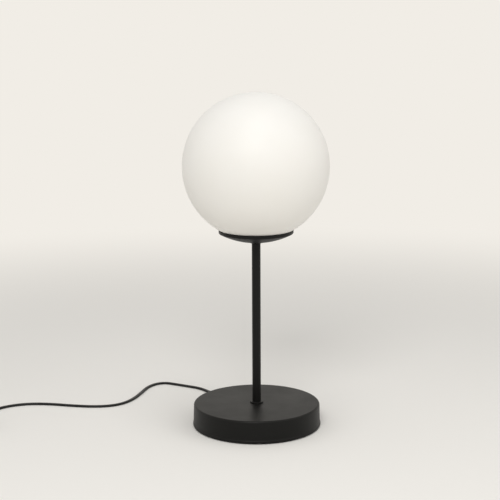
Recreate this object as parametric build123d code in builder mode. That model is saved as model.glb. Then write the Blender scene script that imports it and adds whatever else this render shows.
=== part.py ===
from build123d import *

import os
from math import acos, atan2, cos, hypot, pi, radians, sin, sqrt, tan

# Glass globe table lamp: an opal ball in a shallow dish, on a slim stem and a round weighted base.
# Millimetres, +Z up. The origin is on the stem's axis, on the table under the foot pad.
# +X is to the right and +Y to the back, as the lamp is seen from the front.

# ---- driving dimensions -------------------------------------------------------------------------

# Globe: an opal glass ball with one round mouth underneath
globe_diameter = 200.0
globe_wall = 3.0
mouth_diameter = 76.0
mouth_edge_share = 0.4          # of the wall's thickness, that each rounded edge of the mouth takes

# Base cover: spun steel, with a slightly flared foot whose edge is rolled inwards
base_diameter = 178.5           # across the foot
base_height = 31.6
base_draft = 1.6                # degrees that the wall leans in towards the top
base_gauge = 1.0
base_edge_radius = 2.5
foot_flare = 0.7                # how far the foot stands out from the wall
foot_height = 3.9               # of its upright edge
foot_shoulder = 5.6             # height at which the wall starts to flare
foot_bend = 1.5
base_roll_radius = 1.8
base_roll_reach = 3.9           # from the outside of the foot to the inner end of the roll
base_floor_gap = 0.7            # from the table up to the roll

# Weight, bottom plate and foot pad
weight_thickness = 8.5
weight_recess_diameter = 26.0
weight_recess_depth = 4.5
pillar_circle = 110.0
pillar_diameter = 10.0
plate_thickness = 1.2
pad_diameter = 160.0
pad_thickness = 2.0
plate_screw_diameter = 3.9
plate_screw_head = 6.2
plate_screw_length = 12.0

# Stem and the hollow screws in its ends, M10 x 1
stem_diameter = 12.0
stem_bore = 9.0
stem_length = 224.1
thread_diameter = 10.0
thread_bore = 7.5
thread_reach = 14.0             # how far each hollow screw enters the stem
nut_flats = 14.0
lower_nut_height = 4.0
upper_nut_height = 3.4
washer_diameter = 20.0
washer_thickness = 1.2
lock_washer_diameter = 17.0
lock_washer_thickness = 0.9
thread_overrun = 1.0            # what shows of the lower hollow screw under its nut
tap_overrun = 2.0               # how much deeper the stem is tapped than the screws reach

# Collars at the two ends of the stem
lower_collar_diameter = 18.5
lower_collar_height = 1.8
upper_collar_diameter = 17.6
upper_collar_foot = 14.4
upper_collar_height = 1.9
upper_collar_flare = 0.6        # share of its height over which it widens
collar_edge_radius = 0.6

# Dish: a shallow spun bowl with a short upright lip
dish_diameter = 102.4
dish_gauge = 1.0
dish_curve_radius = 109.0       # of the underside
dish_land_diameter = 21.0       # flat middle
dish_bend_radius = 2.0
dish_lip_radius = 0.4

# Seat ring and springs that hold the globe
seat_diameter = 84.0            # the circle on which the glass rests
seat_width = 5.0
seat_height = 3.55              # between dish and glass on that circle
spring_gauge = 0.6
spring_width = 8.0
spring_count = 3
spring_hub_diameter = 28.0
spring_flat = 6.0               # how far each spring runs out level from the hub
spring_knee_inset = 5.0         # from the edge of the mouth in to where a spring turns up
spring_knee_height = 2.6        # of that knee above the dish
spring_bend = 2.0
spring_tip_inset = 3.6
spring_tip_height = 5.2         # of the turned-in tip above the springs' widest point

# Lampholder, for a bulb with a 27 mm screw cap
holder_wall = 2.0
skirt_gap = 2.2                 # between the skirt and the sleeve that takes the bulb's cap
holder_neck_diameter = 17.0
holder_neck_height = 3.0
holder_shoulder_height = 10.0   # of the cap's shoulder, above the cap's foot
holder_shoulder_radius = 5.0
holder_cap_height = 16.8
holder_roof = 1.5               # how much higher the inside of the shoulder is than its outside
holder_rim_radius = 0.8
holder_thread_depth = 6.6       # of the tapped boss in the cap
nipple_setback = 0.6            # of the hollow screw's end, below the top of that boss
spigot_height = 2.0
spigot_wall = 1.8
insert_thickness = 6.0
insert_chamfer = 0.5
sleeve_wall = 1.8
sleeve_height = 23.0
skirt_rise = 4.8                # how far the skirt stands above the sleeve
web_thickness = 2.0
contact_gauge = 0.5
leg_inset = 0.2                 # of the contacts' legs, in from the outside of the bulb's cap
leg_width = 4.0
tab_length = 1.5                # of the side contact, under the edge of the bulb's cap
terminal_offset = 10.0          # from the axis to the middle of each terminal
terminal_size = (5.6, 7.0, 5.0)
terminal_screw_diameter = 3.0
terminal_screw_head = 4.8
terminal_screw_head_height = 1.4
terminal_screw_length = 6.9

# Bulb
bulb_diameter = 60.0
bulb_length = 105.0
bulb_wall = 1.0
cap_diameter = 26.0
cap_shell_height = 18.0
cap_gauge = 0.4
insulator_height = 3.6
button_diameter = 9.0
button_height = 1.0
button_chamfer = 1.0
bulb_neck_depth = 7.0           # of the glass neck inside the cap
bulb_neck_rise = 2.6            # of the straight neck above the cap
bulb_shoulder_radius = 12.0
cap_throat_inset = 1.7
cap_throat_height = 1.9

# Flat two-core cord
cord_width = 5.2
cord_thickness = 3.2
core_diameter = 2.0
cord_azimuth = 116.0            # degrees from +X to where the cord leaves the base
cord_height = 9.5               # of the cord's middle where it leaves the base
cord_bend = 14.0                # where the cord turns up into the stem
cable_joint_inset = 2.0         # from the strain relief in to where the drawn lengths of cord meet
sheath_rise = 2.5               # of the sheath's end above the tapped boss in the lampholder
core_gap = 0.2                  # between the two cores

# Strain relief in the base wall, and the clamp behind it
relief_neck_diameter = 8.8
relief_flange_diameter = 12.0
relief_root_diameter = 10.0
relief_tip_diameter = 6.8
relief_length = 24.0
relief_flange_thickness = 1.5
relief_inset = 4.0              # of its inner end, behind the outside of the base's wall
relief_standoff = 0.5           # of its outer flange from the base
relief_play = 0.6               # between its inner flange and the wall
relief_groove_count = 4
relief_groove_width = 1.3
relief_groove_depth = 0.95      # at its thick end
clamp_distance = 68.0           # from the stem's axis
clamp_boss_size = (12.0, 28.0)
clamp_bar_size = (9.0, 28.0, 1.8)
clamp_screw_diameter = 3.2
clamp_screw_head = 6.0
clamp_screw_head_height = 1.8
clamp_screw_spacing = 19.0
clamp_screw_length = 12.0

# Rocker switch on the cord
switch_place = (-392.0, -17.0)
switch_length = 62.0
switch_width = 27.0
switch_height = 17.0
switch_split = 6.5              # height of the joint between its two halves
switch_wall = 1.8
switch_corner_radius = 7.0
switch_edge_radius = 3.0
switch_foot_chamfer = 1.0
rib_place = 25.0                # of the two ribs that grip the cord, from the middle
rib_width = 2.0
ear_thickness = 2.0             # of the ears that hold the rocker's pivots
ear_clearance = 0.2
ear_margin = 2.0                # of an ear round the pivot's hole
window_clearance = 0.7          # at the rocker's ends
window_corner_radius = 1.0
rocker_length = 18.4
rocker_width = 11.6
rocker_rise = 5.4               # from the pivot to the rocker's ends
rocker_dip = 1.3                # how much lower its middle is
rocker_pivot_height = 13.0
rocker_pivot_diameter = 2.8
rocker_skirt = 1.0              # how far the ends reach below the pivot
rocker_keel_length = 6.0        # of the deeper middle under the pivot
rocker_keel_depth = 2.6
rocker_corner_chamfer = 0.6
nub_width = 2.4                 # of the nub that presses the moving contact
rocker_tilt = 8.0               # degrees each way from level
case_screw_diameter = 2.6
case_screw_head = 5.4
case_screw_head_height = 1.8
case_screw_length = 12.0
case_screw_recess = 2.4
case_screw_wall = 1.2           # round the head's recess
case_post_wall = 2.0            # round the screw's shank in the cover
case_screw_place = (19.8, 8.7)
switch_cable_end = 21.5         # from the middle to where the cord's sheath is cut back
switch_terminal_place = (13.0, -4.4)
switch_terminal_size = (5.0, 4.0, 4.6)
contact_width = 3.0
leaf_height = 5.0               # of the moving contact above the table
leaf_reach = 7.0                # how far it reaches past the middle
fixed_contact_start = 4.0
fixed_contact_height = 3.4

# Coil in which the spare cord is put away
coil_turns = 6.5
coil_outer_radius = 38.5        # to the middle of the outermost turn
coil_gap = 0.45                 # between turns that lie side by side
coil_layer_gap = 0.7            # between the two layers
coil_lean = 5.5                 # degrees; the climb turns the cord by twice this
coil_lead = 44.0                # from the switch to the middle of the coil
tie_gauge = 0.5
tie_width = 8.0
tie_corner_radius = 1.4

# Two-pin plug
plug_width = 35.3
plug_thickness = 13.7
plug_length = 26.0
plug_rear_width = 13.0
plug_shoulder = 11.0            # length of the tapering rear
plug_shoulder_radius = 6.0
plug_edge_radius = 2.0
plug_cord_depth = 8.0           # how deep the cord's hole is in its rear
plug_relief_length = 20.0
plug_relief_tip = 6.8
plug_relief_root = 10.6
pin_diameter = 4.0
pin_core_diameter = 3.0
pin_length = 19.0
pin_sleeve_length = 10.0
pin_sleeve_diameter = 3.9
pin_spacing = 19.0
pin_root = 7.0                  # length held in the body
pin_tip_radius = 1.2
tail_length = 28.0              # from the coil to the plug's strain relief

# Clearances
thread_clearance = 0.05         # radial, between screwed pieces
fit_clearance = 0.1             # between pieces of one body that pass through each other
easy_clearance = 0.3            # between bodies, and round loosely fitted pieces
spring_clearance = 0.3          # from the springs to the mouth of the glass
rim_clearance = 0.6             # from the dish's lip up to the glass
contact_clearance = 0.35        # between the bulb's contacts and the holder's
cap_clearance = 0.5             # radial, room for the screw thread round the bulb's cap
pivot_clearance = 0.05          # radial, the rocker's pivots in their ears
tie_clearance = 0.8
coil_lift = 0.2                 # from the tie up to the coil
cord_float = 0.1                # under the lying cord, which twists a little in its bends

# ---- places worked out from them ----------------------------------------------------------------

base_radius = base_diameter / 2
thread_radius = thread_diameter / 2
tapped_radius = thread_radius + thread_clearance
clear_radius = thread_radius + fit_clearance


def wall_radius(height):
    """Outer radius of the base's wall at a height above the flared foot."""
    return base_radius - foot_flare - (height - foot_shoulder) * tan(radians(base_draft))


roll_opening_radius = base_radius - base_roll_reach
plate_radius = roll_opening_radius - easy_clearance * 2
plate_bottom = pad_thickness
plate_top = plate_bottom + plate_thickness
weight_top = base_height - base_gauge
weight_bottom = weight_top - weight_thickness
recess_top = weight_bottom + weight_recess_depth
lock_washer_top = recess_top - washer_thickness
lower_nut_top = lock_washer_top - lock_washer_thickness
lower_nut_bottom = lower_nut_top - lower_nut_height
lower_thread_bottom = lower_nut_bottom - thread_overrun

stem_bottom = base_height + lower_collar_height
stem_top = stem_bottom + stem_length
dish_bottom = stem_top + upper_collar_height
dish_land_radius = dish_land_diameter / 2
dish_centre = dish_bottom + sqrt(dish_curve_radius**2 - dish_land_radius**2)
dish_inner_curve = dish_curve_radius - dish_gauge
dish_floor = dish_bottom + dish_gauge
dish_radius = dish_diameter / 2
dish_inner_radius = dish_radius - dish_gauge
upper_nut_bottom = dish_floor + lock_washer_thickness
spring_bottom = upper_nut_bottom + upper_nut_height
holder_bottom = spring_bottom + spring_gauge


def dish_inside(radius):
    """Height of the dish's inner face at a distance from the axis."""
    return dish_centre - sqrt(dish_inner_curve**2 - radius**2)


globe_radius = globe_diameter / 2
mouth_radius = mouth_diameter / 2
seat_radius = seat_diameter / 2
globe_centre = dish_inside(seat_radius) + seat_height + sqrt(globe_radius**2 - seat_radius**2)


def globe_underside(radius, sphere_radius=globe_radius):
    """Height of the glass, or of a sphere about the same centre, at a distance from the axis."""
    return globe_centre - sqrt(sphere_radius**2 - radius**2)


dish_rim = globe_underside(dish_inner_radius) - rim_clearance

skirt_bottom = holder_bottom + holder_cap_height
insert_bottom = skirt_bottom + spigot_height
insert_top = insert_bottom + insert_thickness
sleeve_top = insert_top + sleeve_height
skirt_top = sleeve_top + skirt_rise
cap_radius = cap_diameter / 2
sleeve_bore = cap_radius + cap_clearance
skirt_inner_radius = sleeve_bore + sleeve_wall + skirt_gap
holder_radius = skirt_inner_radius + holder_wall
bulb_bottom = insert_top + contact_gauge + contact_clearance
insulator_bottom = bulb_bottom + button_height
cap_bottom = insulator_bottom + insulator_height
cap_top = cap_bottom + cap_shell_height
bulb_radius = bulb_diameter / 2
bulb_centre = bulb_bottom + bulb_length - bulb_radius
sheath_top = holder_bottom + holder_thread_depth + sheath_rise
terminal_bottom = insert_bottom - terminal_size[2]

exit_way = Vector(cos(radians(cord_azimuth)), sin(radians(cord_azimuth)), 0)
side_way = Vector(-exit_way.Y, exit_way.X, 0)
relief_inner_face = wall_radius(cord_height) - relief_inset
relief_outer_face = base_radius + relief_standoff
relief_tip = relief_outer_face + relief_flange_thickness + relief_length
inner_cable_end = relief_inner_face - cable_joint_inset
clamp_boss_bottom = cord_height + cord_thickness / 2 + fit_clearance
clamp_bar_top = cord_height - cord_thickness / 2 - fit_clearance

cord_area = (cord_width - cord_thickness) * cord_thickness + pi * cord_thickness**2 / 4
cord_lying = cord_thickness / 2 + cord_float
coil_pitch = cord_width + coil_gap
coil_layer_pitch = cord_thickness + coil_layer_gap
coil_bottom_height = tie_gauge + coil_lift + cord_lying
coil_top_height = coil_bottom_height + coil_layer_pitch
switch_half = switch_length / 2
coil_x = switch_place[0] - coil_outer_radius
coil_y = switch_place[1] - switch_half - coil_lead
plug_height = plug_thickness / 2
plug_x = coil_x - coil_outer_radius
plug_relief_start = coil_y + tail_length
plug_rear = plug_relief_start + plug_relief_length
plug_front = plug_rear + plug_length


def out_along_exit(distance, height):
    """A point straight out from the stem's axis, in the direction in which the cord leaves."""
    return (distance * exit_way.X, distance * exit_way.Y, height)


# The cord's way over the table, chosen by hand: out of the base at the back, a slow curve to the
# left with one tight bend towards the front, then away to the left and round to the switch.
lead_route = [
    out_along_exit(inner_cable_end, cord_height),
    out_along_exit(relief_tip, cord_height),
    out_along_exit(relief_tip + 21, cord_height - 0.9),
    (-70.5, 144.0, 1.9),
    (-86.5, 167.0, cord_lying),
    (-110.0, 180.0, cord_lying),
    (-128.0, 190.0, cord_lying),
    (-143.5, 197.5, cord_lying),
    (-158.5, 190.5, cord_lying),
    (-169.5, 171.5, cord_lying),
    (-176.0, 142.0, cord_lying),
    (-186.0, 108.0, cord_lying),
    (-203.0, 84.0, cord_lying),
    (-232.0, 75.0, cord_lying),
    (-270.0, 80.0, cord_lying),
    (-308.0, 90.0, cord_lying),
    (-343.0, 90.0, cord_lying),
    (-371.0, 76.0, cord_lying),
    (-387.0, 52.0, 2.6),
    (switch_place[0], 27.0, switch_split),
    (switch_place[0], switch_place[1] + switch_cable_end, switch_split),
]
mid_route = [
    (switch_place[0], switch_place[1] - switch_cable_end, switch_split),
    (switch_place[0], switch_place[1] - switch_half - 6, switch_split),
    (switch_place[0] + 0.4, switch_place[1] - switch_half - 17, 4.6),
    (switch_place[0], switch_place[1] - switch_half - 29, coil_bottom_height),
    (switch_place[0], coil_y + cord_width, coil_bottom_height),
]
tail_route = [
    (plug_x, coil_y + cord_width, coil_top_height),
    (plug_x, coil_y + 13, coil_top_height),
    (plug_x, plug_relief_start - 2, plug_height),
    (plug_x, plug_rear + plug_cord_depth - easy_clearance, plug_height),
]

os.makedirs("parts", exist_ok=True)

# ---- shared ways of making a shape --------------------------------------------------------------


def turned(outline, rounded=()):
    """Revolve a closed outline of (radius, height) points, with some of its corners rounded."""
    with BuildSketch(Plane.XZ) as section:
        with BuildLine():
            Polyline(*outline, close=True)
        make_face()
        for corner, radius in rounded:
            fillet(section.vertices().sort_by_distance(corner)[0], radius)
    revolve(section.sketch, axis=Axis.Z)


def turned_ring(inner, outer, bottom, top):
    """A plain ring about the lamp's axis."""
    turned([(inner, bottom), (outer, bottom), (outer, top), (inner, top)])


def hex_nut(bottom, height):
    """A tapped hexagon nut about the lamp's axis."""
    with BuildSketch(Plane.XY.offset(bottom)) as section:
        RegularPolygon(nut_flats / 2, 6, major_radius=False)
        Circle(tapped_radius, mode=Mode.SUBTRACT)
    extrude(section.sketch, amount=height)


def screw(head_diameter, head_height, shank_diameter, length, countersunk=False):
    """A screw that points up +Z from the origin, where the outer face of its head lies."""
    head, shank = head_diameter / 2, shank_diameter / 2
    outline = [(0, 0), (head, 0)]
    if not countersunk:
        outline.append((head, head_height))
    turned(outline + [(shank, head_height), (shank, length), (0, length)])


def bend_radii(route):
    """The largest arc that the two runs at each corner of a route leave room for."""
    radii = []
    for before, corner, after in zip(route, route[1:], route[2:]):
        run_in = Vector(*corner) - Vector(*before)
        run_out = Vector(*after) - Vector(*corner)
        turn = radians(run_in.get_angle(run_out))
        radii.append(0.45 * min(run_in.length, run_out.length) / tan(turn / 2))
    return radii


def cord_along(path, lean=0.0):
    """The flat cord swept along a path, its width level at the start or leaning by some degrees."""
    way = path % 0
    with BuildSketch(Plane(path @ 0, x_dir=Vector(0, 0, 1).cross(way), z_dir=way)) as section:
        SlotOverall(cord_width, cord_thickness, rotation=lean)
    sweep(section.sketch, path=path)


def rounded_path(route):
    """The straight runs of a route, joined by arcs as large as the runs allow."""
    with BuildLine(mode=Mode.PRIVATE) as line:
        FilletPolyline(*route, radius=bend_radii(route))
    return line.wires()[0]


def relief_grooves(root_plane, length, root_radius, tip_radius):
    """The rings to cut from a strain relief's taper, shallower towards its tip."""
    with BuildPart(mode=Mode.PRIVATE) as rings:
        for groove in range(1, relief_groove_count + 1):
            share = groove / (relief_groove_count + 1)
            surface = root_radius + (tip_radius - root_radius) * share
            depth = relief_groove_depth * (1 - share)
            with BuildSketch(root_plane.offset(length * share - relief_groove_width / 2)) as ring:
                Circle(root_radius + relief_groove_depth)
                Circle(surface - depth, mode=Mode.SUBTRACT)
            extrude(ring.sketch, amount=relief_groove_width)
    return rings.part


def report_cord(name, part, path, tightest):
    """Print what a stretch of cord measures: its length, its tightest bend and its volume."""
    print(f"{name}: {path.length:.1f} mm long, tightest bend {tightest:.1f} mm, "
          f"volume {part.volume:.1f} of {cord_area * path.length:.1f} mm3")


# ---- base ---------------------------------------------------------------------------------------

exit_plane = Plane((0, 0, cord_height), x_dir=side_way, z_dir=exit_way)
pillar_start = cord_azimuth + 60

with BuildPart() as base_shell:
    neck = wall_radius(foot_shoulder)
    head = wall_radius(base_height)
    turned(
        [
            (clear_radius, base_height),
            (head, base_height),
            (neck, foot_shoulder),
            (base_radius, foot_height),
            (base_radius, base_floor_gap),
            (roll_opening_radius, base_floor_gap),
            (roll_opening_radius, base_floor_gap + base_gauge),
            (base_radius - base_gauge, base_floor_gap + base_gauge),
            (base_radius - base_gauge, foot_height),
            (neck - base_gauge, foot_shoulder),
            (head - base_gauge, weight_top),
            (clear_radius, weight_top),
        ],
        rounded=[
            ((head, base_height), base_edge_radius),
            ((head - base_gauge, weight_top), base_edge_radius - base_gauge),
            ((neck, foot_shoulder), foot_bend),
            ((base_radius, foot_height), foot_bend),
            ((base_radius, base_floor_gap), base_roll_radius),
            ((base_radius - base_gauge, base_floor_gap + base_gauge), base_roll_radius - base_gauge),
        ],
    )
    with BuildSketch(exit_plane.offset(base_radius - 10)):
        Circle(relief_neck_diameter / 2 + fit_clearance)
    extrude(amount=20, mode=Mode.SUBTRACT)
base_shell.part.label = "base_shell"
export_step(base_shell.part, "parts/base_shell.step")

# The cast-iron weight hangs from the stem's screw, under the cover's top. Pillars on its underside
# take the bottom plate's screws, and a boss takes the cord clamp.
with BuildPart() as base_weight:
    with BuildSketch(Plane.XY.offset(weight_bottom)):
        Circle(plate_radius)
    extrude(amount=weight_thickness)
    chamfer(base_weight.edges().group_by(Axis.Z)[-1], base_edge_radius - base_gauge)
    with BuildSketch(Plane.XY.offset(plate_top)):
        with PolarLocations(pillar_circle / 2, 3, start_angle=pillar_start):
            Circle(pillar_diameter / 2)
    extrude(amount=weight_bottom - plate_top)
    with BuildSketch(Plane.XY.offset(clamp_boss_bottom)):
        with Locations(Location(out_along_exit(clamp_distance, 0), (0, 0, cord_azimuth))):
            Rectangle(*clamp_boss_size)
    extrude(amount=weight_bottom - clamp_boss_bottom)
    with BuildSketch(Plane.XY.offset(weight_bottom)):
        Circle(weight_recess_diameter / 2)
    extrude(amount=weight_recess_depth, mode=Mode.SUBTRACT)
    with BuildSketch(Plane.XY.offset(weight_bottom)):
        Circle(clear_radius)
    extrude(amount=weight_thickness, mode=Mode.SUBTRACT)
    with BuildSketch(Plane.XY.offset(plate_top)):
        with PolarLocations(pillar_circle / 2, 3, start_angle=pillar_start):
            Circle(plate_screw_diameter / 2 + fit_clearance)
    extrude(amount=plate_screw_length, mode=Mode.SUBTRACT)
    with BuildSketch(Plane.XY.offset(clamp_boss_bottom)):
        with Locations(Location(out_along_exit(clamp_distance, 0), (0, 0, cord_azimuth))):
            with GridLocations(0, clamp_screw_spacing, 1, 2):
                Circle(clamp_screw_diameter / 2 + thread_clearance)
    extrude(amount=clamp_screw_length, mode=Mode.SUBTRACT)
base_weight.part.label = "base_weight"
export_step(base_weight.part, "parts/base_weight.step")

with BuildPart() as bottom_plate:
    with BuildSketch(Plane.XY.offset(plate_bottom)):
        Circle(plate_radius)
    extrude(amount=plate_thickness)
    with Locations(Location((0, 0, plate_bottom), (180, 0, 0))):
        with PolarLocations(pillar_circle / 2, 3, start_angle=-pillar_start):
            CounterSinkHole(
                radius=plate_screw_diameter / 2 + fit_clearance,
                counter_sink_radius=plate_screw_head / 2 + fit_clearance,
                depth=plate_thickness,
                counter_sink_angle=90,
            )
bottom_plate.part.label = "bottom_plate"
export_step(bottom_plate.part, "parts/bottom_plate.step")

with BuildPart() as plate_screw:
    screw(plate_screw_head, (plate_screw_head - plate_screw_diameter) / 2, plate_screw_diameter,
          plate_screw_length, countersunk=True)
with BuildPart() as plate_screws:
    with Locations((0, 0, plate_bottom)):
        with PolarLocations(pillar_circle / 2, 3, start_angle=pillar_start):
            add(plate_screw.part)
plate_screws.part.label = "plate_screws"
export_step(plate_screws.part, "parts/plate_screws.step")

with BuildPart() as foot_pad:
    with BuildSketch(Plane.XY):
        Circle(pad_diameter / 2)
    extrude(amount=pad_thickness)
foot_pad.part.label = "foot_pad"
export_step(foot_pad.part, "parts/foot_pad.step")

# Strain relief: a flange inside and outside the wall, and a grooved taper over the cord.
with BuildPart() as cord_relief:
    taper_start = relief_outer_face + relief_flange_thickness
    inner_flange_face = wall_radius(cord_height) - base_gauge - relief_play
    with BuildSketch(exit_plane.offset(relief_inner_face)):
        Circle(relief_flange_diameter / 2)
    extrude(amount=inner_flange_face - relief_inner_face)
    with BuildSketch(exit_plane.offset(inner_flange_face)):
        Circle(relief_neck_diameter / 2)
    extrude(amount=relief_outer_face - inner_flange_face)
    with BuildSketch(exit_plane.offset(relief_outer_face)):
        Circle(relief_flange_diameter / 2)
    extrude(amount=relief_flange_thickness)
    with BuildSketch(exit_plane.offset(taper_start)):
        Circle(relief_root_diameter / 2)
    with BuildSketch(exit_plane.offset(relief_tip)):
        Circle(relief_tip_diameter / 2)
    loft()
    add(relief_grooves(exit_plane.offset(taper_start), relief_length, relief_root_diameter / 2,
                       relief_tip_diameter / 2), mode=Mode.SUBTRACT)
    with BuildSketch(exit_plane.offset(relief_inner_face)):
        SlotOverall(cord_width + 2 * fit_clearance, cord_thickness + 2 * fit_clearance)
    extrude(amount=relief_tip - relief_inner_face, mode=Mode.SUBTRACT)
cord_relief.part.label = "cord_relief"
export_step(cord_relief.part, "parts/cord_relief.step")

with BuildPart() as cord_clamp:
    with BuildSketch(Plane.XY.offset(clamp_bar_top - clamp_bar_size[2])):
        with Locations(Location(out_along_exit(clamp_distance, 0), (0, 0, cord_azimuth))):
            RectangleRounded(clamp_bar_size[0], clamp_bar_size[1], 2.0)
            with GridLocations(0, clamp_screw_spacing, 1, 2):
                Circle(clamp_screw_diameter / 2 + fit_clearance, mode=Mode.SUBTRACT)
    extrude(amount=clamp_bar_size[2])
cord_clamp.part.label = "cord_clamp"
export_step(cord_clamp.part, "parts/cord_clamp.step")

with BuildPart() as clamp_screw:
    screw(clamp_screw_head, clamp_screw_head_height, clamp_screw_diameter, clamp_screw_length)
with BuildPart() as clamp_screws:
    head_bottom = clamp_bar_top - clamp_bar_size[2] - clamp_screw_head_height
    with Locations(Location(out_along_exit(clamp_distance, head_bottom), (0, 0, cord_azimuth))):
        with GridLocations(0, clamp_screw_spacing, 1, 2):
            add(clamp_screw.part)
clamp_screws.part.label = "clamp_screws"
export_step(clamp_screws.part, "parts/clamp_screws.step")

# ---- stem ---------------------------------------------------------------------------------------

with BuildPart() as lower_nut:
    hex_nut(lower_nut_bottom, lower_nut_height)
lower_nut.part.label = "lower_nut"
export_step(lower_nut.part, "parts/lower_nut.step")

with BuildPart() as lower_lock_washer:
    turned_ring(clear_radius, lock_washer_diameter / 2, lower_nut_top, lock_washer_top)
lower_lock_washer.part.label = "lower_lock_washer"
export_step(lower_lock_washer.part, "parts/lower_lock_washer.step")

with BuildPart() as lower_washer:
    turned_ring(clear_radius, washer_diameter / 2, lock_washer_top, recess_top)
lower_washer.part.label = "lower_washer"
export_step(lower_washer.part, "parts/lower_washer.step")

with BuildPart() as lower_nipple:
    turned_ring(thread_bore / 2, thread_radius, lower_thread_bottom, stem_bottom + thread_reach)
lower_nipple.part.label = "lower_nipple"
export_step(lower_nipple.part, "parts/lower_nipple.step")

with BuildPart() as lower_collar:
    turned(
        [
            (clear_radius, base_height),
            (lower_collar_diameter / 2, base_height),
            (lower_collar_diameter / 2, stem_bottom),
            (clear_radius, stem_bottom),
        ],
        rounded=[((lower_collar_diameter / 2, stem_bottom), collar_edge_radius)],
    )
lower_collar.part.label = "lower_collar"
export_step(lower_collar.part, "parts/lower_collar.step")

with BuildPart() as stem_tube:
    tapped = thread_reach + tap_overrun
    turned(
        [
            (tapped_radius, stem_bottom),
            (stem_diameter / 2, stem_bottom),
            (stem_diameter / 2, stem_top),
            (tapped_radius, stem_top),
            (tapped_radius, stem_top - tapped),
            (stem_bore / 2, stem_top - tapped),
            (stem_bore / 2, stem_bottom + tapped),
            (tapped_radius, stem_bottom + tapped),
        ]
    )
stem_tube.part.label = "stem_tube"
export_step(stem_tube.part, "parts/stem_tube.step")

with BuildPart() as upper_collar:
    flare_top = stem_top + upper_collar_height * upper_collar_flare
    turned(
        [
            (clear_radius, stem_top),
            (upper_collar_foot / 2, stem_top),
            (upper_collar_diameter / 2, flare_top),
            (upper_collar_diameter / 2, dish_bottom),
            (clear_radius, dish_bottom),
        ],
        rounded=[((upper_collar_diameter / 2, flare_top), collar_edge_radius)],
    )
upper_collar.part.label = "upper_collar"
export_step(upper_collar.part, "parts/upper_collar.step")

with BuildPart() as upper_nipple:
    turned_ring(thread_bore / 2, thread_radius, stem_top - thread_reach,
                holder_bottom + holder_thread_depth - nipple_setback)
upper_nipple.part.label = "upper_nipple"
export_step(upper_nipple.part, "parts/upper_nipple.step")

# ---- dish, its fixings and what holds the globe -------------------------------------------------

with BuildPart() as dish:
    inner_land_radius = sqrt(dish_inner_curve**2 - (dish_centre - dish_floor) ** 2)
    outer_foot = dish_centre - sqrt(dish_curve_radius**2 - dish_radius**2)
    inner_foot = dish_inside(dish_inner_radius)
    with BuildSketch(Plane.XZ) as dish_section:
        with BuildLine():
            Line((clear_radius, dish_floor), (clear_radius, dish_bottom))
            Line((clear_radius, dish_bottom), (dish_land_radius, dish_bottom))
            RadiusArc((dish_land_radius, dish_bottom), (dish_radius, outer_foot), -dish_curve_radius)
            Line((dish_radius, outer_foot), (dish_radius, dish_rim))
            Line((dish_radius, dish_rim), (dish_inner_radius, dish_rim))
            Line((dish_inner_radius, dish_rim), (dish_inner_radius, inner_foot))
            RadiusArc((dish_inner_radius, inner_foot), (inner_land_radius, dish_floor), dish_inner_curve)
            Line((inner_land_radius, dish_floor), (clear_radius, dish_floor))
        make_face()
        corner = dish_section.vertices().sort_by_distance((dish_radius, outer_foot))[0]
        fillet(corner, dish_bend_radius)
        corner = dish_section.vertices().sort_by_distance((dish_inner_radius, inner_foot))[0]
        fillet(corner, dish_bend_radius - dish_gauge)
        corner = dish_section.vertices().sort_by_distance((dish_radius, dish_rim))[0]
        fillet(corner, dish_lip_radius)
    revolve(axis=Axis.Z)
dish.part.label = "dish"
export_step(dish.part, "parts/dish.step")

with BuildPart() as dish_washer:
    turned_ring(clear_radius, lock_washer_diameter / 2, dish_floor, upper_nut_bottom)
dish_washer.part.label = "dish_washer"
export_step(dish_washer.part, "parts/dish_washer.step")

with BuildPart() as dish_nut:
    hex_nut(upper_nut_bottom, upper_nut_height)
dish_nut.part.label = "dish_nut"
export_step(dish_nut.part, "parts/dish_nut.step")

# Each spring runs out from the hub, rises inside the mouth of the glass and presses on its edge.
# Its flat tip is as wide as the spring, so its corners set how far out it may reach.
spring_reach = sqrt((mouth_radius - spring_clearance) ** 2 - (spring_width / 2) ** 2)
spring_knee = mouth_radius - spring_knee_inset
hub_radius = spring_hub_diameter / 2
spring_crest = globe_underside(mouth_radius) + globe_wall * 0.7
with BuildPart() as spring_arm:
    with BuildSketch(Plane.XZ) as arm_section:
        with BuildLine() as arm_line:
            FilletPolyline(
                (hub_radius - spring_bend, spring_bottom + spring_gauge / 2),
                (hub_radius + spring_flat, spring_bottom + spring_gauge / 2),
                (spring_knee, dish_inside(spring_knee) + spring_knee_height),
                (spring_reach - spring_gauge / 2, spring_crest),
                (spring_reach - spring_tip_inset, spring_crest + spring_tip_height),
                radius=spring_bend,
            )
        trace(arm_line.line, line_width=spring_gauge)
    extrude(amount=spring_width / 2, both=True)
with BuildPart() as globe_spring:
    turned_ring(clear_radius, hub_radius, spring_bottom, holder_bottom)
    with PolarLocations(0, spring_count, start_angle=-90):
        add(spring_arm.part)
globe_spring.part.label = "globe_spring"
export_step(globe_spring.part, "parts/globe_spring.step")

with BuildPart() as seat_ring:
    seat_inner = seat_radius - seat_width / 2
    seat_outer = seat_radius + seat_width / 2
    turned(
        [
            (seat_inner, dish_inside(seat_inner) + fit_clearance),
            (seat_outer, dish_inside(seat_outer) + fit_clearance),
            (seat_outer, globe_underside(seat_outer) - easy_clearance),
            (seat_inner, globe_underside(seat_inner) - easy_clearance),
        ]
    )
seat_ring.part.label = "seat_ring"
export_step(seat_ring.part, "parts/seat_ring.step")

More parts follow.
